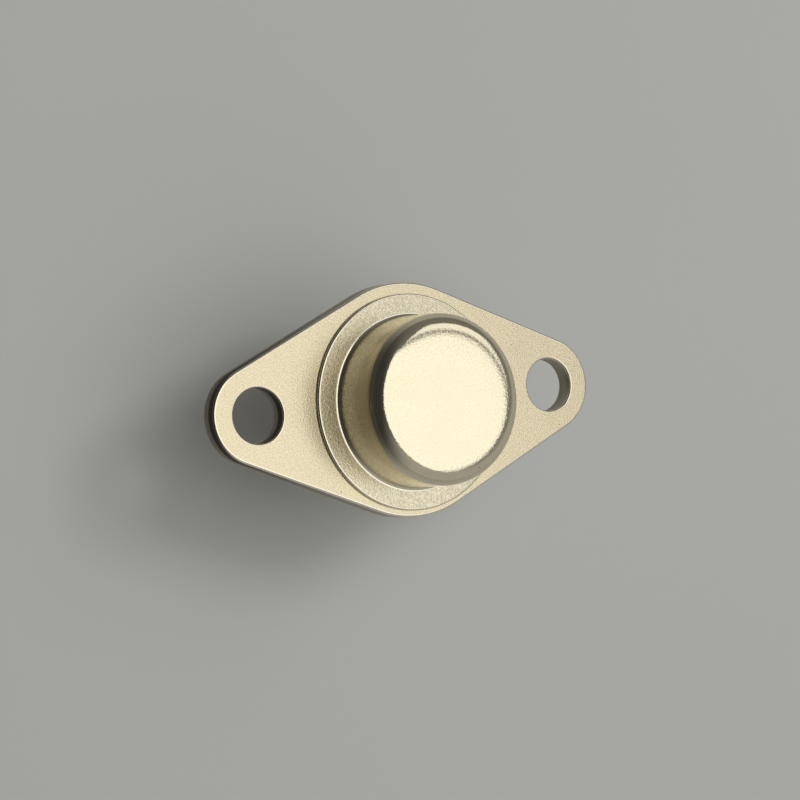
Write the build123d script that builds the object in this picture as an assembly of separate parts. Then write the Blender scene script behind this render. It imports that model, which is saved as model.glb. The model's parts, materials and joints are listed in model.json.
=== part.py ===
from build123d import *
import os
from math import atan2, degrees, hypot

# A triac in a two-lead metal power package, in millimetres.
# The origin is the centre of the flange's seating face. +Z runs out through the cap,
# X runs through both mounting holes, and the leads point along -Z.

# Flange: stamped from steel plate, and main terminal 2 itself
flange_thickness = 1.5
flange_side_margin = 0.65
flange_end_wall = 1.52
flange_edge_break = 0.15
mounting_hole_spacing = 24.38
mounting_hole_d = 3.86

# Cap: drawn from steel sheet, and welded to the flange by its brim
cap_sheet = 0.5
cap_d = 12.08
cap_height = 5.35
cap_shoulder_round = 1.25
cap_foot_round = 0.45
brim_width = 1.66
brim_edge_break = 0.12
cap_offset_x = 0.1
cap_offset_y = -0.18

# Leads: two round wires through glass beads, on a line beside the flange's centre.
# Each is tinned from a little below the flange to its end.
lead_wire_d = 0.72
lead_tin = 0.03
lead_tin_start = 0.4
lead_tin_taper = 0.6
lead_length = 11.2
lead_end_break = 0.2
lead_spacing = 5.08
lead_line_offset = 2.54
bead_d = 2.3
bead_climb = 0.25

# Heat spreader and chip: a copper disc brazed down, with the chip soldered on it
braze_thickness = 0.08
solder_thickness = 0.06
spreader_d = 5.5
spreader_thickness = 0.8
spreader_edge_break = 0.1
spreader_wall_gap = 1.25
chip_side = 3.0
chip_thickness = 0.28
coating_width = 0.35
coating_slope = 0.25
coating_corner_round = 0.6

# Clips: bent strips from the tops of the leads to the contacts on the chip
clip_sheet = 0.2
clip_bend_round = 0.25
clip_rise = 0.65
clip_step = 0.6
eye_gap = 0.04
eye_rim = 0.35
collar_reach = 0.22
collar_height = 0.25
contact_edge_gap = 0.12
mt1_clip_width = 1.3
mt1_foot_length = 1.2
gate_clip_width = 0.6
gate_foot_length = 0.6

# Radii and places that follow from the sizes above
hole_radius = mounting_hole_d / 2
hole_x = mounting_hole_spacing / 2
cap_radius = cap_d / 2
brim_radius = cap_radius + brim_width
bead_radius = bead_d / 2
wire_radius = lead_wire_d / 2
tinned_radius = wire_radius + lead_tin
eye_hole_radius = wire_radius + eye_gap
spreader_radius = spreader_d / 2
spreader_x = cap_radius - cap_sheet - spreader_wall_gap - spreader_radius

# Levels, from the flange's top face up through the chip to the tops of the leads
spreader_bottom = flange_thickness + braze_thickness
spreader_top = spreader_bottom + spreader_thickness
chip_bottom = spreader_top + solder_thickness
chip_top = chip_bottom + chip_thickness
foot_bottom = chip_top + solder_thickness
foot_top = foot_bottom + clip_sheet
eye_bottom = foot_bottom + clip_rise
eye_top = eye_bottom + clip_sheet
lead_top = eye_top + collar_height


def round_bar(radius, bottom, top, centre=(0, 0)):
    """A disc, rod or hole between two levels."""
    return Pos(*centre, bottom) * extrude(Circle(radius), top - bottom)


def square_plate(side, bottom, top):
    """A square plate in the stack on the heat spreader."""
    return Pos(spreader_x, 0, bottom) * extrude(Rectangle(side, side), top - bottom)


def turned(half_section, centre):
    """A piece turned about a lead's axis, from (radius, level) points."""
    section = make_face(Plane.XZ * Polyline(*half_section, close=True))
    return Pos(*centre, 0) * revolve(section, Axis.Z)


def bent_sheet(outline, rounds, sheet):
    """The section of a bent sheet, from the line along its upper and outer face."""
    line = FilletPolyline(*outline, radius=rounds)
    return Plane.XZ * make_face(line.offset_2d(sheet, side=Side.RIGHT))


def header_flange(posts):
    """The plate: a round middle that runs by straight sides into two round ends."""
    middle = Circle(brim_radius + flange_side_margin).edge()
    end = (Pos(-hole_x, 0) * Circle(hole_radius + flange_end_wall)).edge()
    plate = extrude(make_hull([middle, end, end.rotate(Axis.Z, 180)]), flange_thickness)
    for x in (-hole_x, hole_x):
        plate -= round_bar(hole_radius, 0, flange_thickness, (x, 0))
    plate = chamfer(plate.edges().group_by(Axis.Z)[-1], flange_edge_break)
    for post in posts:
        plate -= round_bar(bead_radius, 0, flange_thickness, post)
    return plate


def cap():
    """The can: one sheet from the flat top, over the shoulder and out to the brim."""
    outline = ((0, cap_height), (cap_radius, cap_height), (cap_radius, cap_sheet), (brim_radius, cap_sheet))
    can = revolve(bent_sheet(outline, (cap_shoulder_round, cap_foot_round), cap_sheet), Axis.Z)
    brim_edges = can.edges().filter_by(GeomType.CIRCLE).group_by(SortBy.RADIUS)[-1]
    can = chamfer(brim_edges.sort_by(Axis.Z)[-1], brim_edge_break)
    return Pos(cap_offset_x, cap_offset_y, flange_thickness) * can


def glass_bead(post):
    """The insulator: it fills the flange's hole and climbs the lead at both faces."""
    climb_radius = wire_radius + bead_climb
    half_section = (
        (wire_radius, -bead_climb),
        (climb_radius, 0),
        (bead_radius, 0),
        (bead_radius, flange_thickness),
        (climb_radius, flange_thickness),
        (wire_radius, flange_thickness + bead_climb),
    )
    return turned(half_section, post)


def lead(post):
    """A round wire with its top inside the cap and its free end tinned and chamfered."""
    half_section = (
        (0, -lead_length),
        (tinned_radius, -lead_length),
        (tinned_radius, -lead_tin_start - lead_tin_taper),
        (wire_radius, -lead_tin_start),
        (wire_radius, lead_top),
        (0, lead_top),
    )
    wire = turned(half_section, post)
    return chamfer(wire.edges().group_by(Axis.Z)[0], lead_end_break)


def heat_spreader():
    """The copper disc that carries the chip and takes its heat to the flange."""
    slug = round_bar(spreader_radius, spreader_bottom, spreader_top, (spreader_x, 0))
    return chamfer(slug.edges().group_by(Axis.Z)[-1], spreader_edge_break)


def junction_coating():
    """The dam of varnish round the chip's edges, down to the copper."""
    side = chip_side + 2 * coating_width
    outline = RectangleRounded(side, side, coating_corner_round)
    dam = Pos(spreader_x, 0, spreader_top) * extrude(outline, chip_top - spreader_top)
    dam = chamfer(dam.edges().group_by(Axis.Z)[-1], coating_slope)
    return dam - square_plate(chip_side, spreader_top, chip_top)


def clip_plan(post, corner, width, foot_length):
    """Where a clip's foot sits, in a corner of the chip, and its way from the post."""
    inset = chip_side / 2 - contact_edge_gap - hypot(width, foot_length) / 2
    foot = (spreader_x + corner * inset, corner * inset)
    run = (foot[0] - post[0], foot[1] - post[1])
    return foot, hypot(*run), degrees(atan2(run[1], run[0]))


def clip(post, corner, width, foot_length):
    """A strip with an eye round the post, a step down and a flat foot on the chip."""
    foot, distance, bearing = clip_plan(post, corner, width, foot_length)
    step_end = distance - foot_length / 2
    outline = (
        (0, eye_top),
        (step_end - clip_step, eye_top),
        (step_end, foot_top),
        (step_end + foot_length, foot_top),
    )
    strip = extrude(bent_sheet(outline, clip_bend_round, clip_sheet), width / 2, both=True)
    strip += round_bar(eye_hole_radius + eye_rim, eye_bottom, eye_top)
    strip -= round_bar(eye_hole_radius, eye_bottom, eye_top)
    return Pos(*post, 0) * Rot(0, 0, bearing) * strip


def contact_solder(post, corner, width, foot_length):
    """The solder between the chip and a clip's foot."""
    foot, distance, bearing = clip_plan(post, corner, width, foot_length)
    pad = extrude(Rectangle(foot_length, width), solder_thickness)
    return Pos(*foot, chip_top) * Rot(0, 0, bearing) * pad


def post_solder(post):
    """The solder that fills the gap in an eye and makes a collar up the post."""
    half_section = (
        (wire_radius, eye_bottom),
        (eye_hole_radius, eye_bottom),
        (eye_hole_radius, eye_top),
        (eye_hole_radius + collar_reach, eye_top),
        (wire_radius, lead_top),
    )
    return turned(half_section, post)


# Each lead's own pieces: its post, the chip's corner its clip goes to, and the clip
mt1_post = (-lead_line_offset, lead_spacing / 2)
gate_post = (-lead_line_offset, -lead_spacing / 2)
terminals = {
    "mt1": (mt1_post, 1, mt1_clip_width, mt1_foot_length),
    "gate": (gate_post, -1, gate_clip_width, gate_foot_length),
}

pieces = {
    "header_flange": header_flange((mt1_post, gate_post)),
    "cap": cap(),
    "spreader_braze": round_bar(spreader_radius, flange_thickness, spreader_bottom, (spreader_x, 0)),
    "heat_spreader": heat_spreader(),
    "die_attach_solder": square_plate(chip_side, spreader_top, chip_bottom),
    "triac_chip": square_plate(chip_side, chip_bottom, chip_top),
    "junction_coating": junction_coating(),
}
for name, strip in terminals.items():
    pieces[f"{name}_lead"] = lead(strip[0])
    pieces[f"{name}_glass_bead"] = glass_bead(strip[0])
    pieces[f"{name}_clip"] = clip(*strip)
    pieces[f"{name}_contact_solder"] = contact_solder(*strip)
    pieces[f"{name}_post_solder"] = post_solder(strip[0])

os.makedirs("parts", exist_ok=True)
for name, piece in pieces.items():
    export_step(piece, f"parts/{name}.step")
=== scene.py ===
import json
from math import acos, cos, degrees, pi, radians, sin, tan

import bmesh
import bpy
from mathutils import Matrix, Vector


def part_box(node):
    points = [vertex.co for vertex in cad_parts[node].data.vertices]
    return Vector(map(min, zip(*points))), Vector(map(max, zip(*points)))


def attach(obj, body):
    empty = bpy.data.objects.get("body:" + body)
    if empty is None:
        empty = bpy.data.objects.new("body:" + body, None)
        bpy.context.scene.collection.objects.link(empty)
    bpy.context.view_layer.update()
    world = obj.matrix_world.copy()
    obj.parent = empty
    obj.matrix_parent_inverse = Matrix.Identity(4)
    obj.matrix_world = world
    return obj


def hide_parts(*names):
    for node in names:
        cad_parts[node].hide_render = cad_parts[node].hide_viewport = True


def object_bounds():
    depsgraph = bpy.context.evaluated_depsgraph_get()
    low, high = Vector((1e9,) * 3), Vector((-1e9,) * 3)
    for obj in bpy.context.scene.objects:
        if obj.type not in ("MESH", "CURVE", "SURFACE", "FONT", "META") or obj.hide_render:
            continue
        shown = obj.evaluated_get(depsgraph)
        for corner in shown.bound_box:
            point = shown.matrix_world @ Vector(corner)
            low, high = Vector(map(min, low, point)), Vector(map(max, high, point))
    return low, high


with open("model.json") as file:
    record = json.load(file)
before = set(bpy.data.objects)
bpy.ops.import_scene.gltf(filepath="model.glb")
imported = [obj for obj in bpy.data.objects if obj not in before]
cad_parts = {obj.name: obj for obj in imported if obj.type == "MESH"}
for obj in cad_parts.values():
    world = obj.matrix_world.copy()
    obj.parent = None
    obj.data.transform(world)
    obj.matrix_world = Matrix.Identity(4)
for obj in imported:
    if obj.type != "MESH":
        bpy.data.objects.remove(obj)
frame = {"nodes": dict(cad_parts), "record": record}

# %% [markdown]
# # A triac in a two-lead metal power package
#
# The real part is a stamped steel flange with a drawn steel cap welded on it. Two leads
# come out underneath through glass beads, and the chip sits on a copper disc inside the cap.
# The construction is already settled in CAD, and it is loaded here as a fixed frame. What
# Blender adds is what a machinist would notice with the part in the hand: the rolled edge
# that a punch leaves, the way the sheet flows round the cap's shoulder, and the satin
# nickel plating on everything.
#
# Blender works in metres and the part in millimetres, so one factor turns one into the other.

MM = 0.001
cad_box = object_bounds()
mounts = {mount["name"]: mount for mount in frame["record"]["mounts"]}
print("CAD box in mm:", [[round(value / MM, 2) for value in corner] for corner in cad_box])

# %% [markdown]
# ## The camera
#
# The part is looked at from above its left end, with the camera turned on its side, so that
# the flange runs across the picture. A long lens from 166 mm away keeps the two round ends
# nearly the same size. The camera could be aimed with a tracking constraint. Elevation,
# heading and roll keep the view to a few numbers that a photographer could set on a tripod.

# %% Camera
LENS = 104.14
CAMERA_DISTANCE = 165.55 * MM
CAMERA_ELEVATION = radians(58.30)
CAMERA_HEADING = radians(179.00)
CAMERA_ROLL = radians(85.05)
CAMERA_AIM = Vector((0.138, 0.023, 0)) * MM
NEAREST, FARTHEST = 10 * MM, 4000 * MM


def direction(heading, elevation):
    """The unit vector that points that way from the part."""
    level = Vector((cos(heading), sin(heading), 0))
    return level * cos(elevation) + Vector((0, 0, 1)) * sin(elevation)


def make_camera():
    """A camera that looks back along a direction, rolled about its own line of sight."""
    back = direction(CAMERA_HEADING, CAMERA_ELEVATION)
    camera = bpy.data.objects.new("camera", bpy.data.cameras.new("camera"))
    bpy.context.scene.collection.objects.link(camera)
    camera.data.lens = LENS
    camera.data.clip_start = NEAREST
    camera.data.clip_end = FARTHEST
    turn = (-back).to_track_quat("-Z", "Y")
    camera.rotation_mode = "QUATERNION"
    camera.rotation_quaternion = Matrix.Rotation(CAMERA_ROLL, 3, back).to_quaternion() @ turn
    camera.location = CAMERA_AIM + back * CAMERA_DISTANCE
    bpy.context.scene.camera = camera
    return camera


camera = make_camera()
bpy.context.scene.view_settings.view_transform = "Standard"
print("camera at, in mm:", [round(value / MM, 1) for value in camera.location])

# %% [markdown]
# ## Shader nodes in few words
#
# Every finish, lamp and backdrop below is a small tree of shader nodes. Nodes can be wired
# one call at a time, but then a finish takes a page. One helper adds a node, sets it and
# links it. A few more name the steps that come back all the time: a blank material, a sum,
# a value turned into another one, and two colours mixed. With them a finish can be read as
# a recipe.

# %% Helpers for shader nodes
def blank_material(name):
    """A material with no nodes in it yet, and its tree."""
    material = bpy.data.materials.new(name)
    material.use_nodes = True
    material.node_tree.nodes.clear()
    return material, material.node_tree


def add(tree, kind, values=(), **options):
    """Adds a node, sets its options, and fills its inputs with numbers or other outputs."""
    node = tree.nodes.new("ShaderNode" + kind)
    for option, value in options.items():
        setattr(node, option, value)
    for socket, value in dict(values).items():
        if isinstance(value, bpy.types.NodeSocket):
            tree.links.new(value, node.inputs[socket])
        else:
            node.inputs[socket].default_value = value
    return node


def calculate(tree, operation, first, second):
    """One step of arithmetic on two values."""
    return add(tree, "Math", {0: first, 1: second}, operation=operation).outputs[0]


def ramp(tree, value, start, end, low=0.0, high=1.0, smooth=False):
    """A value between two levels turned into another one, evenly or with soft ends."""
    values = {"Value": value, "From Min": start, "From Max": end, "To Min": low, "To Max": high}
    kind = "SMOOTHSTEP" if smooth else "LINEAR"
    return add(tree, "MapRange", values, interpolation_type=kind).outputs["Result"]


def mixed(tree, factor, first, second):
    """The first colour at a factor of 0, the second one at 1."""
    values = {"Factor": factor, 6: first, 7: second}
    return add(tree, "Mix", values, data_type="RGBA").outputs[2]


def shaded(tint, level=1):
    """A tint at a share of its brightness, as a colour for a socket."""
    return (*[channel * level for channel in tint], 1)


def grey(level):
    """A plain grey, as a colour for a socket."""
    return (level, level, level, 1)


# %% [markdown]
# ## The lamps
#
# Bare metal is a mirror with a tint, so what it looks like is what stands round it. Two soft
# boxes hang overhead with a narrow gap between them, like the panes of a window and its bar.
# The flat faces mirror the near one and turn bright. Where the cap's top begins to bend, the
# gap shows as a thin dark arc, and the far box as a bright rim outside it. Area lamps could do
# the same, but a glowing sheet can have any outline, so the near one gets a round end: its
# border in the metal is then a curve and not a corner.

# %% Soft boxes
LIGHT_HEIGHT = 500 * MM
LIGHT_TURN = radians(55)
ROUND_END_STEPS = 48


def from_slopes(along, across):
    """The point of the lamps' level that the part sees at these two slopes."""
    return Matrix.Rotation(LIGHT_TURN, 3, "Z") @ (Vector((along, across, 1)) * LIGHT_HEIGHT)


def glowing(name, brightness):
    """An even white glow."""
    material, tree = blank_material(name)
    glow = add(tree, "Emission", {"Color": grey(1.0), "Strength": brightness})
    add(tree, "OutputMaterial", {"Surface": glow.outputs[0]})
    return material


def box_outline(along, across, round_end):
    """The corners of a soft box between two slopes each way, with its left end round if asked."""
    left, right = along
    start, end = across
    corners = [from_slopes(right, start), from_slopes(right, end)]
    if not round_end:
        return corners + [from_slopes(left, end), from_slopes(left, start)]
    middle, reach = (start + end) / 2, (end - start) / 2
    turns = [radians(90 + 180 * step / ROUND_END_STEPS) for step in range(ROUND_END_STEPS + 1)]
    return corners + [from_slopes(-left * cos(turn), middle + reach * sin(turn)) for turn in turns]


def soft_box(name, along, across, brightness, round_end=False):
    """A level glowing sheet, given by the slopes at which the part sees its sides."""
    corners = box_outline(along, across, round_end)
    mesh = bpy.data.meshes.new(name)
    mesh.from_pydata(corners, [], [tuple(range(len(corners)))])
    mesh.materials.append(glowing(name, brightness))
    sheet = bpy.data.objects.new(name, mesh)
    bpy.context.scene.collection.objects.link(sheet)
    sheet.visible_camera = False
    print(name, "with", len(corners), "corners, brightness", brightness)


soft_box("near_soft_box", (-0.50, 0.475), (-0.80, 0.52), 1.29, round_end=True)
soft_box("far_soft_box", (0.58, 1.24), (-0.84, 0.18), 1.12)

# %% [markdown]
# ## The key lamp
#
# Soft boxes that wide cast hardly any shadow. Smaller ones would cast more, but the metal
# would show them as small spots. So a small disc lamp draws the soft shadow on the floor,
# and only matt surfaces see it. It hangs lower than the boxes, or they would stand in its
# light.

# %% Key lamp
KEY_SIZE = 160 * MM
KEY_GLOW = 5.4
KEY_SLOPES = (0.50, -0.10)
KEY_SHARE_OF_HEIGHT = 0.8


def make_key_lamp():
    """A lamp that only matt surfaces see, so that it draws a shadow and no highlight."""
    data = bpy.data.lights.new("key_lamp", "AREA")
    data.shape = "DISK"
    data.size = KEY_SIZE
    disc_area = pi / 4 * KEY_SIZE ** 2
    data.energy = pi * KEY_GLOW * disc_area
    light = bpy.data.objects.new("key_lamp", data)
    bpy.context.scene.collection.objects.link(light)
    light.location = from_slopes(*KEY_SLOPES) * KEY_SHARE_OF_HEIGHT
    light.rotation_euler = light.location.to_track_quat("Z", "Y").to_euler()
    light.visible_glossy = False
    return light


print("key lamp power:", round(make_key_lamp().data.energy, 3), "W")

# %% [markdown]
# ## The room
#
# The sides of the metal mirror the room. It is a plain grey that falls off to nearly black on
# the camera's side, which draws the dark crescent down the near side of the cap. High up on
# the +Y side, at the top of the picture, it falls off to a darker ceiling, which draws the
# dark ring round the cap's bright top. Walls could be modelled, but a sky that only changes
# with direction is smooth and needs no mesh.
# The camera itself sees an even grey behind the floor.

# %% Room
ROOM_GREY = 0.40
CEILING_GREY = 0.18
ROOM_DARK = 0.04
BACKGROUND_TINT = (0.385, 0.390, 0.370)
DARK_SIDE = direction(radians(168), 0)
DARK_START, DARK_END = -0.15, 0.80
CEILING_SIDE = direction(radians(90), radians(50))
CEILING_START, CEILING_END = 0.2, 0.5


def turned_to(tree, towards, side, start, end):
    """From 0 to 1 as a direction turns to a side of the room, between two cosines."""
    cosine = add(tree, "VectorMath", {0: towards, 1: side}, operation="DOT_PRODUCT")
    return ramp(tree, cosine.outputs["Value"], start, end, smooth=True)


def darkening(tree, towards):
    """From 0 to 1 as a direction turns to the camera's side of the room."""
    return turned_to(tree, towards, DARK_SIDE, DARK_START, DARK_END)


def make_room():
    """A grey room, darker towards the camera's side, that the camera sees as plain grey."""
    world = bpy.data.worlds.new("room")
    bpy.context.scene.world = world
    world.use_nodes = True
    tree = world.node_tree
    tree.nodes.clear()
    towards = add(tree, "TexCoord").outputs["Generated"]
    upwards = turned_to(tree, towards, CEILING_SIDE, CEILING_START, CEILING_END)
    walls = mixed(tree, upwards, grey(ROOM_GREY), grey(CEILING_GREY))
    tone = mixed(tree, darkening(tree, towards), walls, grey(ROOM_DARK))
    lit = add(tree, "Background", {"Color": tone}).outputs[0]
    seen = add(tree, "Background", {"Color": shaded(BACKGROUND_TINT)}).outputs[0]
    by_camera = add(tree, "LightPath").outputs["Is Camera Ray"]
    either = add(tree, "MixShader", {0: by_camera, 1: lit, 2: seen})
    add(tree, "OutputWorld", {"Surface": either.outputs[0]})
    return world


print(make_room().name, "of grey", ROOM_GREY, "falling to", ROOM_DARK)

# %% [markdown]
# ## Noise in millimetres
#
# No real surface is one flat colour. Card, plating, glass and tin all vary a little, and
# each at its own size. Noise gives that without a picture, and it never repeats or
# stretches. Its place is counted in millimetres, because a grain has a real size on the
# real part: a scale of 8 is then eight grains to a millimetre.

# %% Helpers for noise
NOISE_LOW, NOISE_HIGH = 0.3, 0.7        # noise seldom goes past these


def millimetres(tree):
    """The place on the piece, counted in millimetres."""
    place = add(tree, "TexCoord").outputs["Object"]
    return add(tree, "VectorMath", {0: place, "Scale": 1 / MM}, operation="SCALE").outputs[0]


def noise(tree, place, scale, detail, roughness=0.5):
    """Soft noise from 0 to 1 with that many grains to a millimetre."""
    values = {"Vector": place, "Scale": scale, "Detail": detail, "Roughness": roughness}
    return add(tree, "TexNoise", values).outputs["Fac"]


# %% [markdown]
# ## The floor
#
# The part stands on the tips of its leads on pale card. In the metal the card has to fall off
# to dark on the camera's side as the room does, or the near walls would have no dark line
# where they meet the brim. So shade is painted into the card's colour, only for rays that
# come from a mirroring surface.
# A studio bends its card up into a sweep to hide the horizon. Here the card fades into the
# background far out, for the camera alone, which does the same without a wall that the metal
# would mirror.

# %% The card's finish
CARD_TINT = (0.548, 0.553, 0.526)
CARD_CLOUD_SHADE = 1.04
CARD_CLOUD_GRAINS = 0.02
CARD_ROUGHNESS = 0.75
# The card's colour where mirrors see the camera's side: painted shade.
CARD_PAINTED_SHADE = 0.07
FADE_START = 120 * MM
FADE_END = 420 * MM


def painted_shade_in_metal(tree, place, colour):
    """The card's colour with painted shade, falling off to dark where a mirror sees the camera's
    side.
    """
    outwards = add(tree, "VectorMath", {0: place}, operation="NORMALIZE").outputs[0]
    in_metal = add(tree, "LightPath").outputs["Is Glossy Ray"]
    # Painted shade, for mirrored rays only.
    shade = calculate(tree, "MULTIPLY", darkening(tree, outwards), in_metal)
    return mixed(tree, shade, colour, grey(CARD_PAINTED_SHADE))


def fading_far_out(tree, place, card):
    """The card's shader, faded into the background's colour for the camera."""
    distance = add(tree, "VectorMath", {0: place}, operation="LENGTH").outputs["Value"]
    far = ramp(tree, distance, FADE_START, FADE_END, smooth=True)
    by_camera = add(tree, "LightPath").outputs["Is Camera Ray"]
    fade = calculate(tree, "MULTIPLY", far, by_camera)
    background = add(tree, "Emission", {"Color": shaded(BACKGROUND_TINT)}).outputs[0]
    return add(tree, "MixShader", {0: fade, 1: card, 2: background}).outputs[0]


def card_finish():
    """Smooth pale card with a slight uneven tone, and painted shade where mirrors see it on the
    camera's side.
    """
    material, tree = blank_material("pale_card")
    place = add(tree, "TexCoord").outputs["Object"]
    tone = noise(tree, millimetres(tree), CARD_CLOUD_GRAINS, 2.0)
    colour = mixed(tree, tone, shaded(CARD_TINT), shaded(CARD_TINT, CARD_CLOUD_SHADE))
    colour = painted_shade_in_metal(tree, place, colour)
    values = {"Base Color": colour, "Roughness": CARD_ROUGHNESS}
    card = add(tree, "BsdfPrincipled", values).outputs[0]
    add(tree, "OutputMaterial", {"Surface": fading_far_out(tree, place, card)})
    return material


# %% The floor
FLOOR_SIZE = 1800 * MM


def make_floor():
    """A flat sheet at the level of the tips of the leads."""
    level = cad_box[0].z
    reach = FLOOR_SIZE / 2
    mesh = bpy.data.meshes.new("floor")
    corners = [(x * reach, y * reach, level) for x, y in ((-1, -1), (1, -1), (1, 1), (-1, 1))]
    mesh.from_pydata(corners, [], [(0, 1, 2, 3)])
    floor = bpy.data.objects.new("floor", mesh)
    bpy.context.scene.collection.objects.link(floor)
    floor.data.materials.append(card_finish())
    print("floor level in mm:", round(level / MM, 2))


make_floor()

# %% [markdown]
# ## What every finish ends in
#
# All the finishes on the part end in the same shader, so one helper fills it in and shows it.
# Another turns noise into a bump. A bump only changes how the light falls, so it is kept for
# grain that is too fine to model: every edge, round and rolled rim below is a real shape.

# %% Helpers for finishes
def show(tree, values):
    """The surface shader with its inputs filled, shown on the piece."""
    shader = add(tree, "BsdfPrincipled", values)
    add(tree, "OutputMaterial", {"Surface": shader.outputs[0]})


def bumps(tree, height, distance, strength=1.0):
    """The way a surface faces that rises by a distance where the height is 1."""
    values = {"Strength": strength, "Distance": distance, "Height": height}
    return add(tree, "Bump", values).outputs["Normal"]


# %% [markdown]
# ## Pits in the plating
#
# Barrel plating leaves the odd pit. Noise alone would darken whole patches. Instead the
# surface is cut into cells about a millimetre wide, a dot is set in each, and one dot in
# eight is kept.

# %% Pits in the plating
PIT_CELLS = 1.1
PIT_RADIUS = 0.06
PIT_CHANCE = 0.12
PIT_COLOUR = (0.24, 0.18, 0.11, 1)


def pitted(tree, place, colour):
    """Darkens a colour in a few pits, each a tenth of a millimetre wide."""
    cells = add(tree, "TexVoronoi", {"Vector": place, "Scale": PIT_CELLS})
    dot = calculate(tree, "LESS_THAN", cells.outputs["Distance"], PIT_RADIUS)
    draw = add(tree, "SeparateColor", {"Color": cells.outputs["Color"]}).outputs["Red"]
    kept = calculate(tree, "LESS_THAN", draw, PIT_CHANCE)
    return mixed(tree, calculate(tree, "MULTIPLY", dot, kept), colour, PIT_COLOUR)


# %% [markdown]
# ## What drawing does to the sheet
#
# The cap was drawn from flat sheet before it was plated, and drawing treated each stretch of
# it differently. Its top keeps the gloss of the sheet. Over the shoulder the sheet was
# stretched, which turns it to a fine orange peel. The wall was rubbed dull in the die. Each
# could have a finish of its own, but there is no border between them, so one finish changes
# with the distance from the middle and with the level, both in millimetres.

# %% Drawn sheet
PEEL_START, PEEL_FULL = 3.9, 4.6
PEEL_GRAINS = 7.0
PEEL_HEIGHT = 3.0
DULL_START, DULL_FULL = 4.8, 3.6
DULL_WALL = 0.18


def drawn_sheet(tree, place, roughness, grain):
    """Adds orange peel to the grain of the shoulder, and roughness to the wall."""
    level = add(tree, "SeparateXYZ", {"Vector": place}).outputs["Z"]
    duller = ramp(tree, level, DULL_START, DULL_FULL, 0.0, DULL_WALL)
    flattened = add(tree, "VectorMath", {0: place, 1: (1, 1, 0)}, operation="MULTIPLY").outputs[0]
    radius = add(tree, "VectorMath", {0: flattened}, operation="LENGTH").outputs["Value"]
    stretched = ramp(tree, radius, PEEL_START, PEEL_FULL, 0.0, PEEL_HEIGHT)
    peel = calculate(tree, "MULTIPLY", noise(tree, place, PEEL_GRAINS, 1.0), stretched)
    return calculate(tree, "ADD", roughness, duller), calculate(tree, "ADD", grain, peel)


# %% [markdown]
# ## Satin nickel
#
# The flange and the cap are steel, barrel plated with nickel, which has a warm champagne
# tint beside a neutral grey. Tumbling leaves it satin, not polished: a fine grain an eighth
# of a millimetre across and a few larger clouds. The grain could be bump alone, but then it
# would vanish where the light is even. It goes into the gloss, the bump and a little into
# the colour, and the clouds go into the colour.
#
# The plating looks different on each kind of surface, so one recipe is called four times.
# The punched flange is the roughest. The brim was squeezed by a welding electrode and is
# speckled. The drawn cap is the smoothest, and rolled edges are burnished nearly bright.

# %% Satin nickel
CLOUD_GRAINS = 0.45
CLOUD_SHADE = 0.92
SATIN_GRAINS = 8.0
GLOSS_SPREAD = 0.25


def nickel_finish(name, tint, roughness, grain_depth, speckle, drawn=False):
    """Nickel plating: clouds in its tint, grain in its gloss and bump, and a few dark pits."""
    material, tree = blank_material(name)
    place = millimetres(tree)
    clouds = noise(tree, place, CLOUD_GRAINS, 4.0, 0.6)
    bright = mixed(tree, clouds, shaded(tint, CLOUD_SHADE), shaded(tint))
    grain = ramp(tree, noise(tree, place, SATIN_GRAINS, 2.0, 0.6), NOISE_LOW, NOISE_HIGH)
    depth = ramp(tree, grain, 0.0, 1.0, 1 - speckle, 1.0)
    colour = add(tree, "VectorMath", {0: bright, "Scale": depth}, operation="SCALE").outputs[0]
    dullest = roughness * (1 + GLOSS_SPREAD)
    glossiest = roughness * (1 - GLOSS_SPREAD)
    gloss = ramp(tree, grain, 0.0, 1.0, dullest, glossiest)
    if drawn:
        gloss, grain = drawn_sheet(tree, place, gloss, grain)
    show(tree, {
        "Base Color": pitted(tree, place, colour),
        "Metallic": 1.0,
        "Roughness": gloss,
        "Normal": bumps(tree, grain, grain_depth),
    })
    print(name, "of roughness", roughness)
    return material


flange_nickel = nickel_finish("flange_nickel", (0.80, 0.70, 0.48), 0.27, 0.0045 * MM, 0.08)
cap_nickel = nickel_finish("cap_nickel", (0.86, 0.78, 0.57), 0.10, 0.0018 * MM, 0.09, drawn=True)
brim_nickel = nickel_finish("brim_nickel", (0.84, 0.76, 0.56), 0.26, 0.0065 * MM, 0.28)
rolled_nickel = nickel_finish("rolled_nickel", (0.90, 0.83, 0.66), 0.12, 0.001 * MM, 0.0)

# %% [markdown]
# ## Cut steel
#
# A punch shears the top half of a cut wall and burnishes it, then the rest tears and stays
# matt and pale. One finish could fade from the one into the other, but on the real wall the
# change is a sharp line, so the wall has two. Both are noise that is stretched or squeezed
# the way the punch moved: long streaks where it sheared, short crumbs where the metal tore.

# %% Cut steel
STREAKS_ACROSS = 8
STREAK_SHADE = 0.6
STREAK_DEPTH = 0.02 * MM


def stretched_millimetres(tree, grains):
    """The place on the piece, with its own number of grains to a millimetre each way."""
    return add(tree, "Mapping", {"Vector": millimetres(tree), "Scale": grains}).outputs[0]


def cut_finish(name, tint, roughness, metallic, streaks_down):
    """A punched wall, with streaks that run with the punch."""
    material, tree = blank_material(name)
    place = stretched_millimetres(tree, (STREAKS_ACROSS, STREAKS_ACROSS, streaks_down))
    streaks = noise(tree, place, 1.0, 3.0)
    show(tree, {
        "Base Color": mixed(tree, streaks, shaded(tint, STREAK_SHADE), shaded(tint)),
        "Metallic": metallic,
        "Roughness": roughness,
        "Normal": bumps(tree, streaks, STREAK_DEPTH),
    })
    print(name, "of roughness", roughness)
    return material


sheared_steel = cut_finish("sheared_steel", (0.43, 0.37, 0.29), 0.30, 1.0, 0.8)
torn_steel = cut_finish("torn_steel", (0.58, 0.53, 0.44), 0.55, 0.45, 5.0)

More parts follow.
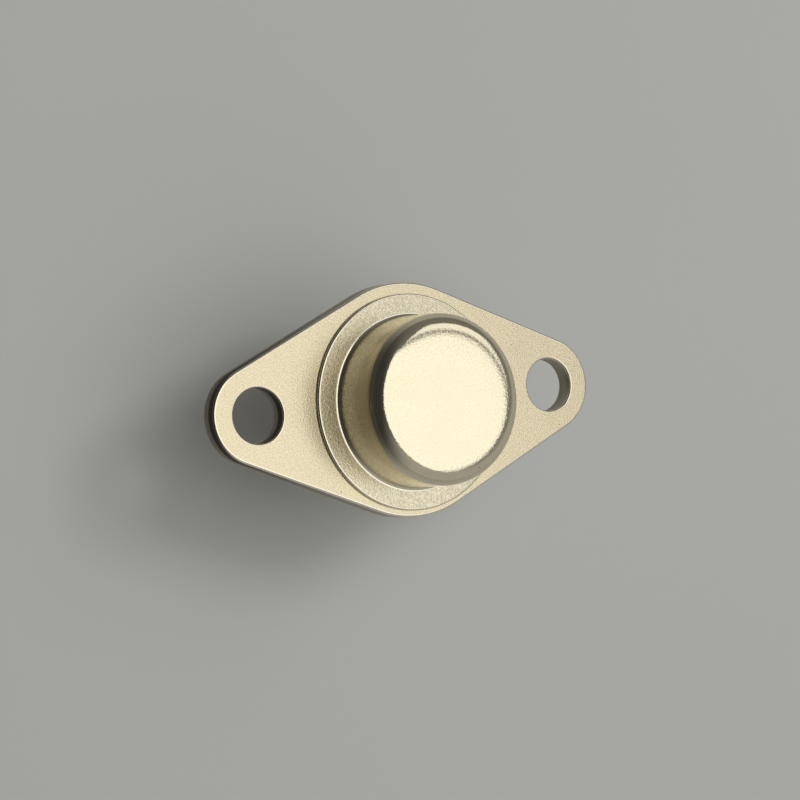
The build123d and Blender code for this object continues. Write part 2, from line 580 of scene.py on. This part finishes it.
# %% [markdown]
# ## Glass and tin
#
# The beads are dark sealing glass, fired smooth, with slight waves in its face. It could be
# made to let light through, but this glass is nearly black and sits in a hole, so a dark
# colour under a clear coat looks the same and renders without speckle. The leads are dipped
# in tin, which runs down the wire and freezes, so its noise is stretched along the wire.

# %% Glass and tin
GLASS_TINT, GLASS_SHADE = (0.035, 0.075, 0.062), (0.010, 0.030, 0.026)
WAVE_GRAINS = 2.0
WAVE_DEPTH = 0.02 * MM
TIN_TINT, TIN_SHADE = (0.90, 0.89, 0.86), (0.74, 0.73, 0.70)
RUN_GRAINS = (2, 2, 0.5)
RUN_DEPTH = 0.04 * MM


def glass_finish(name):
    """Dark sealing glass with waves in its face."""
    material, tree = blank_material(name)
    waves = noise(tree, millimetres(tree), WAVE_GRAINS, 2.0)
    show(tree, {
        "Base Color": mixed(tree, waves, shaded(GLASS_SHADE), shaded(GLASS_TINT)),
        "Roughness": 0.07,
        "IOR": 1.50,
        "Coat Weight": 0.6,
        "Coat Roughness": 0.03,
        "Normal": bumps(tree, waves, WAVE_DEPTH, strength=0.6),
    })
    print(name, "with", WAVE_GRAINS, "waves to a millimetre")
    return material


def tin_finish(name):
    """Dipped tin: bright and grey, with the soft runs that it froze in along the wire."""
    material, tree = blank_material(name)
    runs = noise(tree, stretched_millimetres(tree, RUN_GRAINS), 1.0, 2.0)
    show(tree, {
        "Base Color": mixed(tree, runs, shaded(TIN_SHADE), shaded(TIN_TINT)),
        "Metallic": 1.0,
        "Roughness": ramp(tree, runs, NOISE_LOW, NOISE_HIGH, 0.16, 0.30),
        "Normal": bumps(tree, runs, RUN_DEPTH),
    })
    print(name, "with runs", round(RUN_DEPTH / MM, 2), "mm deep")
    return material


bead_glass = glass_finish("bead_glass")
tinned_wire = tin_finish("tinned_wire")

# %% [markdown]
# ## Turned and stamped meshes
#
# Every outer piece is either turned about an axis or stamped from sheet, so both kinds are
# built the same way: as a stack of closed rings of points with a skin of quads between
# them. A ring of one point closes a turned piece at its axis. That gives clean even quads
# along each round edge, which a boolean or a bevel on a plain cylinder would not.

# %% Helpers for rings
ON_AXIS = 1e-9


def arc(centre, radius, start, end, steps):
    """Points of an arc between two angles in degrees, ends included."""
    turns = [radians(start + (end - start) * step / steps) for step in range(steps + 1)]
    return [(centre[0] + radius * cos(turn), centre[1] + radius * sin(turn)) for turn in turns]


def circle(mesh, centre, radius, level, segments):
    """A ring of points, or the one point that it shrinks to on the axis."""
    if radius < ON_AXIS:
        return [mesh.verts.new((centre[0], centre[1], level))]
    points = arc(centre, radius, 0, 360 - 360 / segments, segments - 1)
    return [mesh.verts.new((x, y, level)) for x, y in points]


def turned(mesh, centre, section, segments):
    """A ring for each (radius, level) of a section."""
    return [circle(mesh, centre, radius, level, segments) for radius, level in section]


def skin(mesh, rings):
    """Quads between each ring and the next, or triangles where one of them is a point."""
    for ring, following in zip(rings, rings[1:]):
        for i in range(max(len(ring), len(following))):
            corners = (
                ring[i % len(ring)],
                ring[(i + 1) % len(ring)],
                following[(i + 1) % len(following)],
                following[i % len(following)],
            )
            mesh.faces.new(dict.fromkeys(corners))


# %% [markdown]
# ## From a mesh to a piece of the part
#
# The same few steps end every piece. Its faces are turned outwards and smoothed up to the
# edges that are sharp on the real piece. Then the piece is tied to the part and stands in for
# the plainer CAD solid.

# %% Helper that finishes a piece
SHARP_EDGE = radians(40)


def finish_piece(mesh, name, materials, nodes):
    """Makes the object, smooths it up to its sharp edges, and puts it in the CAD nodes' place."""
    bmesh.ops.recalc_face_normals(mesh, faces=mesh.faces)
    data = bpy.data.meshes.new(name)
    mesh.to_mesh(data)
    mesh.free()
    data.shade_smooth()
    data.set_sharp_from_angle(angle=SHARP_EDGE)
    for material in materials:
        data.materials.append(material)
    piece = bpy.data.objects.new(name, data)
    bpy.context.scene.collection.objects.link(piece)
    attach(piece, "root")
    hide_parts(*nodes)
    print(name, len(data.polygons), "faces")


# %% [markdown]
# ## The flange's outline and edge
#
# The flange is punched from steel plate 1.5 mm thick. A punch leaves four marks on a
# cut edge, from the top down: a rolled edge, a smooth sheared band, a rougher band where the
# metal tore through, and a small burr. The plate could be a plain extrusion, but then its
# edge would be one flat wall. Here the outline is drawn once as four arcs with tangent
# sides, and each mark is that outline again at another inset and level.

# %% The flange's outline and edge
low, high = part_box("header_flange")
HOLE_X = mounts["mounting_hole_pos_x"]["pos_m"][0]
FLANGE_TOP = high.z
MIDDLE_RADIUS = high.y
END_RADIUS = high.x - HOLE_X
SIDE_ANGLE = degrees(acos((MIDDLE_RADIUS - END_RADIUS) / HOLE_X))
OUTLINE_STEPS = 40
ROLL_STEPS = 8
BURR_STEPS = 5

TOP_MARGIN = 0.05 * MM
EDGE_ROLL = 0.15 * MM
TEAR_LEVEL = 0.75 * MM
TEAR_INSET = 0.03 * MM
TEAR_DROP = 0.07 * MM
BURR_LEVEL = 0.10 * MM
WAIST_INSET = 0.04 * MM
WAIST_RISE = 0.02 * MM
BURR_ROUND = 0.10 * MM
UNDERSIDE_MARGIN = 0.08 * MM


def flange_outline(mesh, inset, level):
    """The plate's outline, moved in by an inset: two end arcs and two middle arcs."""
    middle = MIDDLE_RADIUS - inset
    end = END_RADIUS - inset
    points = arc((HOLE_X, 0), end, -SIDE_ANGLE, SIDE_ANGLE, OUTLINE_STEPS)
    points += arc((0, 0), middle, SIDE_ANGLE, 180 - SIDE_ANGLE, OUTLINE_STEPS)
    points += arc((-HOLE_X, 0), end, 180 - SIDE_ANGLE, 180 + SIDE_ANGLE, OUTLINE_STEPS)
    points += arc((0, 0), middle, 180 + SIDE_ANGLE, 360 - SIDE_ANGLE, OUTLINE_STEPS)
    return [mesh.verts.new((x, y, level)) for x, y in points]


def cut_edge(width):
    """(inset, level) down a punched edge, whose roll takes that width of the flat top."""
    flat = [(width + TOP_MARGIN, FLANGE_TOP)]
    quarter = arc((0, 0), 1, 90, 0, ROLL_STEPS)
    rolled = [(width * (1 - x), FLANGE_TOP - EDGE_ROLL * (1 - y)) for x, y in quarter]
    tear = [(0, TEAR_LEVEL), (TEAR_INSET, TEAR_LEVEL - TEAR_DROP)]
    waist = [(WAIST_INSET, BURR_LEVEL + WAIST_RISE)]
    burr_round = arc((0, 0), BURR_ROUND, 0, -90, BURR_STEPS)
    burr = [(BURR_ROUND - x, BURR_LEVEL + y) for x, y in burr_round]
    underside = [(BURR_ROUND + UNDERSIDE_MARGIN, 0)]
    return flat + rolled + tear + waist + burr + underside


print("flange sides at", round(SIDE_ANGLE, 1), "degrees, edge of", len(cut_edge(0)), "rings")

# %% [markdown]
# ## The flange
#
# The plate has two mounting holes, punched like its outline, and two plain holes that the
# glass beads fill. Cutting them with a boolean would leave long thin faces along the rounds.
# Instead each hole is a stack of rings like the outline, and one fill closes each flat face
# between all the rims. Each band of the edge then gets its own finish by the level that its
# faces lie at.

# %% The flange
HOLE_RADIUS = mounts["mounting_hole_pos_x"]["dims"]["r_mm"] * MM
EDGE_ROLL_WIDTH = 0.17 * MM
HOLE_ROLL_WIDTH = 0.12 * MM
HOLE_SEGMENTS = 96
BEAD_RADIUS = 1.15 * MM
BEAD_SEGMENTS = 64
SHEARED, TORN, BURNISHED = 1, 2, 3
LYING_FLAT = 0.9999


def plate_stacks(mesh):
    """A stack of rings for the outline, each mounting hole and each bead's hole."""
    edge = cut_edge(EDGE_ROLL_WIDTH)
    stacks = [[flange_outline(mesh, inset, level) for inset, level in edge]]
    hole = [(HOLE_RADIUS + inset, level) for inset, level in cut_edge(HOLE_ROLL_WIDTH)]
    for side in (-1, 1):
        stacks.append(turned(mesh, (side * HOLE_X, 0), hole, HOLE_SEGMENTS))
    sleeve = [(BEAD_RADIUS, FLANGE_TOP), (BEAD_RADIUS, 0)]
    for pin in ("mt1_pin", "gate_pin"):
        stacks.append(turned(mesh, mounts[pin]["pos_m"][:2], sleeve, BEAD_SEGMENTS))
    return stacks


def ring_edges(ring):
    """The edges that join a ring's neighbouring points."""
    pairs = zip(ring, ring[1:] + ring[:1])
    return [edge for a, b in pairs for edge in a.link_edges if edge.other_vert(a) is b]


def edge_finish(level):
    """Which of the plate's materials the faces at a level of its edge have."""
    if level > FLANGE_TOP - EDGE_ROLL or level < BURR_LEVEL:
        return BURNISHED
    return SHEARED if level > TEAR_LEVEL else TORN


def make_flange():
    """The plate with its two mounting holes and the two holes for the glass beads."""
    mesh = bmesh.new()
    stacks = plate_stacks(mesh)
    for stack in stacks:
        skin(mesh, stack)
    mesh.normal_update()
    for end in (0, -1):
        rims = [edge for stack in stacks for edge in ring_edges(stack[end])]
        bmesh.ops.triangle_fill(mesh, edges=rims, use_beauty=True, normal=(0, 0, 1))
    for face in mesh.faces:
        if len(face.verts) == 4 and abs(face.normal.z) < LYING_FLAT:
            face.material_index = edge_finish(face.calc_center_median().z)
    materials = [flange_nickel, sheared_steel, torn_steel, rolled_nickel]
    finish_piece(mesh, "flange_plate", materials, ["header_flange"])


make_flange()

# %% [markdown]
# ## The cap's section
#
# The cap is drawn from one disc of sheet into a can with a brim, and the brim is welded to
# the flange. The electrode squeezes the brim to three fifths of the sheet's thickness and
# presses its foot sharper. The section is a single line: a flat top, a wide round over the
# shoulder, a wall that leans in by a hair, a small round at the foot and a flat brim.
#
# The top could meet the shoulder where an arc begins, but drawn sheet does not bend that
# suddenly. So the top's last millimetre follows a high power of the radius: flat for most of
# the way, then tilting faster and faster until it meets the round at the same slope.

# %% The cap's section
low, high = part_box("cap")
CAP_CENTRE = ((low.x + high.x) / 2, (low.y + high.y) / 2)
CAP_TOP = high.z
CAP_RADIUS = 6.04 * MM
CAP_SHEET = 0.5 * MM
DRAFT = 0.08 * MM
RIM_TILT = radians(14)
CROWN_POWER = 15
CROWN_STEPS = 40
SHOULDER_ROUND = 1.20 * MM
SHOULDER_START = 2.9
SHOULDER_STEPS = 24
WALL_STEPS = 10
BRIM_RADIUS = (high.x - low.x) / 2
BRIM_SHEET = 0.30 * MM
BRIM_TOP = FLANGE_TOP + BRIM_SHEET
BRIM_ROUND = 0.12 * MM
BRIM_STEPS = 8
BRIM_MARGIN = 0.1 * MM
BRIM_UNDERCUT = 0.14 * MM
FOOT_ROUND = 0.25 * MM
FOOT_STEPS = 12
FOOT = (CAP_RADIUS + DRAFT / 2 + FOOT_ROUND, BRIM_TOP + FOOT_ROUND)


def crown_section(rim, drop):
    """The top, out from its centre to the rim, where it has dropped by a high power."""
    shares = [step / CROWN_STEPS for step in range(CROWN_STEPS)]
    return [(rim * share, CAP_TOP - drop * share ** CROWN_POWER) for share in shares]


def wall_section(top):
    """The wall, down to the foot's round. It leans in by a hair towards the shoulder."""
    levels = [top + (FOOT[1] - top) * step / WALL_STEPS for step in range(1, WALL_STEPS)]
    rises = [(level - BRIM_TOP) / (top - BRIM_TOP) for level in levels]
    radii = [CAP_RADIUS + DRAFT / 2 - DRAFT * rise ** 2 for rise in rises]
    return list(zip(radii, levels))


def brim_section():
    """The foot's round and the brim, out to its edge and back under the round."""
    edge = (BRIM_RADIUS - BRIM_ROUND, BRIM_TOP - BRIM_ROUND)
    return (
        arc(FOOT, FOOT_ROUND, 180, 270, FOOT_STEPS)
        + [(FOOT[0] + BRIM_MARGIN, BRIM_TOP), (edge[0] - BRIM_MARGIN, BRIM_TOP)]
        + arc(edge, BRIM_ROUND, 90, -30, BRIM_STEPS)
        + [(BRIM_RADIUS - BRIM_UNDERCUT, FLANGE_TOP)]
        + arc(FOOT, FOOT_ROUND + BRIM_SHEET, 270, 180, FOOT_STEPS)
    )


def cap_section():
    """The cap's section, out from the top's centre to the brim and back inside the sheet."""
    flat = CAP_RADIUS - DRAFT / 2 - SHOULDER_ROUND * cos(radians(SHOULDER_START))
    rim = flat + SHOULDER_ROUND * sin(RIM_TILT)
    drop = rim * tan(RIM_TILT) / CROWN_POWER
    shoulder = (flat, CAP_TOP - drop - SHOULDER_ROUND * cos(RIM_TILT))
    wall_top = shoulder[1] + SHOULDER_ROUND * sin(radians(SHOULDER_START))
    return (
        crown_section(rim, drop)
        + arc(shoulder, SHOULDER_ROUND, 90 - degrees(RIM_TILT), SHOULDER_START, SHOULDER_STEPS)
        + wall_section(wall_top)
        + brim_section()
        + arc(shoulder, SHOULDER_ROUND - CAP_SHEET, 0, 90, SHOULDER_STEPS // 2)
        + [(0, shoulder[1] + SHOULDER_ROUND - CAP_SHEET)]
    )


print("cap section of", len(cap_section()), "points")

# %% [markdown]
# ## The cap
#
# A lathe turns a section about an axis, and so does this mesh. The axis is the cap's own,
# which sits a little off the flange's centre, as welded caps do. A subdivided cylinder could
# be pushed into the same shape, but turning gives perfect quads along the rounds, where the
# highlights run.

# %% The cap
CAP_SEGMENTS = 256
SQUEEZED, ROLLED = 1, 2


def brim_finish(out):
    """Which of the cap's materials a low face has, by how far out from the axis it is."""
    return SQUEEZED if FOOT[0] < out < BRIM_RADIUS - BRIM_ROUND else ROLLED


def make_cap():
    """The can with its brim."""
    mesh = bmesh.new()
    skin(mesh, turned(mesh, CAP_CENTRE, cap_section(), CAP_SEGMENTS))
    for face in mesh.faces:
        middle = face.calc_center_median()
        if middle.z < FOOT[1]:
            face.material_index = brim_finish((middle.xy - Vector(CAP_CENTRE)).length)
    materials = [cap_nickel, brim_nickel, rolled_nickel]
    finish_piece(mesh, "cap_can", materials, ["cap"])


make_cap()

# %% [markdown]
# ## The glass beads
#
# Each lead is sealed into the flange by a bead of glass. Molten glass leaves soft shapes: it
# creeps up the wire and dips between the wire and the hole. A flat disc would do for a
# drawing, but the hollow face is what catches the light, so it is a cubic curve from the
# hole's wall in to the wire, turned with the same rings as the cap.

# %% Glass beads
BEAD_CLIMB = 0.25 * MM
BEAD_STEPS = 10
WIRE_RADIUS = 0.36 * MM


def meniscus(level, climb):
    """The glass from the hole's wall in to the wire, which it climbs in a hollow curve."""
    width = BEAD_RADIUS - WIRE_RADIUS
    shares = [step / BEAD_STEPS for step in range(BEAD_STEPS + 1)]
    return [(BEAD_RADIUS - width * share, level + climb * share ** 3) for share in shares]


def make_bead(terminal):
    """The glass: a sleeve round the wire with a hollow face at each end."""
    mesh = bmesh.new()
    section = meniscus(0, -BEAD_CLIMB) + meniscus(FLANGE_TOP, BEAD_CLIMB)[::-1]
    rings = turned(mesh, mounts[terminal + "_pin"]["pos_m"][:2], section, BEAD_SEGMENTS)
    skin(mesh, rings + rings[:1])
    name = terminal + "_bead"
    finish_piece(mesh, name, [bead_glass], [terminal + "_glass_bead"])


print("glass climbs the wire by", round(BEAD_CLIMB / MM, 2), "mm")

# %% [markdown]
# ## The leads
#
# Each lead is a plain wire that ends in a flat post inside the cap. Its outer part is dipped
# in tin from a little below the bead to its tip. The tin ends in a rounded step above, thins
# along the wire and hangs in a slight drop at the tip. A curve with a round bevel would be
# quicker, but the step and the drop need a section of their own, so the lead is turned too.

# %% Leads, each with its bead
TINNED_RADIUS = mounts["mt1_pin"]["dims"]["r_mm"] * MM
TIN_LEVEL = -0.4 * MM
TIN_STEP = 0.6 * MM
TIP_ROUND = 0.22 * MM
LOW_THINNING, ABOVE_TIP = 0.975, 1.2 * MM
HIGH_THINNING, BELOW_STEP = 0.985, 1.4 * MM
LEAD_SEGMENTS = 48


def tin_edge(turn):
    """(radius, level) on the tin's rounded step, from full at 0 to bare wire at 180 degrees."""
    tin = (TINNED_RADIUS - WIRE_RADIUS) * (1 + cos(radians(turn))) / 2
    return WIRE_RADIUS + tin, TIN_LEVEL - TIN_STEP * (1 - turn / 180)


def lead_section(tip, top):
    """The wire, from the drop of tin at its tip to its flat top inside the cap."""
    turns = [radians(turn) for turn in range(0, 91, 9)]
    drop = [(TINNED_RADIUS * sin(turn), tip + TIP_ROUND * (1 - cos(turn))) for turn in turns]
    thinned = [
        (TINNED_RADIUS * LOW_THINNING, tip + ABOVE_TIP),
        (TINNED_RADIUS * HIGH_THINNING, TIN_LEVEL - BELOW_STEP),
    ]
    step = [tin_edge(turn) for turn in range(0, 181, 18)]
    return drop + thinned + step + [(WIRE_RADIUS, top), (0, top)]


def make_lead(terminal):
    """One lead, from its tip to its post."""
    mesh = bmesh.new()
    low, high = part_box(terminal + "_lead")
    section = lead_section(low.z, high.z)
    skin(mesh, turned(mesh, mounts[terminal + "_pin"]["pos_m"][:2], section, LEAD_SEGMENTS))
    finish_piece(mesh, terminal + "_wire", [tinned_wire], [terminal + "_lead"])


for terminal in ("mt1", "gate"):
    make_bead(terminal)
    make_lead(terminal)

# %% [markdown]
# ## Inside the sealed can
#
# Nobody sees these pieces unless the cap is cut away, but a finished model has them finished
# too. Their shapes are right in CAD, so they keep their own meshes and get new materials:
# copper for the heat spreader, solder and braze in the joints, polished silicon, red
# junction varnish, and plated strip for the two clips. Each could have its own tree, but one
# recipe serves them all: a tint, a darker tint that noise mixes in, a gloss, and a bump.

# %% Inner finishes
INNER_GLOSS_SPREAD = 0.2


def inner_finish(name, tint, shade, grains, roughness, metallic, depth):
    """A tint and its shade mixed by noise, with a bump from the same noise, in millimetres."""
    material, tree = blank_material(name)
    grain = noise(tree, millimetres(tree), grains, 3.0, 0.6)
    glossiest = roughness * (1 - INNER_GLOSS_SPREAD)
    dullest = roughness * (1 + INNER_GLOSS_SPREAD)
    show(tree, {
        "Base Color": mixed(tree, grain, shaded(shade), shaded(tint)),
        "Metallic": metallic,
        "Roughness": ramp(tree, grain, 0.0, 1.0, glossiest, dullest),
        "Normal": bumps(tree, grain, depth * MM),
    })
    return material


copper = inner_finish("copper", (0.86, 0.42, 0.26), (0.62, 0.27, 0.17), 3.0, 0.32, 1.0, 0.010)
braze = inner_finish("braze", (0.80, 0.74, 0.58), (0.62, 0.55, 0.40), 5.0, 0.40, 1.0, 0.015)
solder = inner_finish("solder", (0.66, 0.67, 0.69), (0.46, 0.47, 0.49), 4.0, 0.34, 1.0, 0.020)
silicon = inner_finish("silicon", (0.20, 0.21, 0.25), (0.13, 0.14, 0.18), 2.0, 0.14, 0.6, 0.002)
varnish = inner_finish("varnish", (0.52, 0.15, 0.08), (0.36, 0.08, 0.04), 1.6, 0.18, 0.0, 0.030)
strip = inner_finish("clip_strip", (0.80, 0.68, 0.45), (0.62, 0.50, 0.31), 4.0, 0.30, 1.0, 0.008)

INNER_FINISHES = {
    "heat_spreader": copper,
    "spreader_braze": braze,
    "die_attach_solder": solder,
    "triac_chip": silicon,
    "junction_coating": varnish,
}
for terminal in ("mt1", "gate"):
    INNER_FINISHES[terminal + "_clip"] = strip
    INNER_FINISHES[terminal + "_contact_solder"] = solder
    INNER_FINISHES[terminal + "_post_solder"] = solder

for node, material in INNER_FINISHES.items():
    for holder in frame["nodes"][node].material_slots:
        holder.material = material
print("inner pieces finished:", len(INNER_FINISHES))
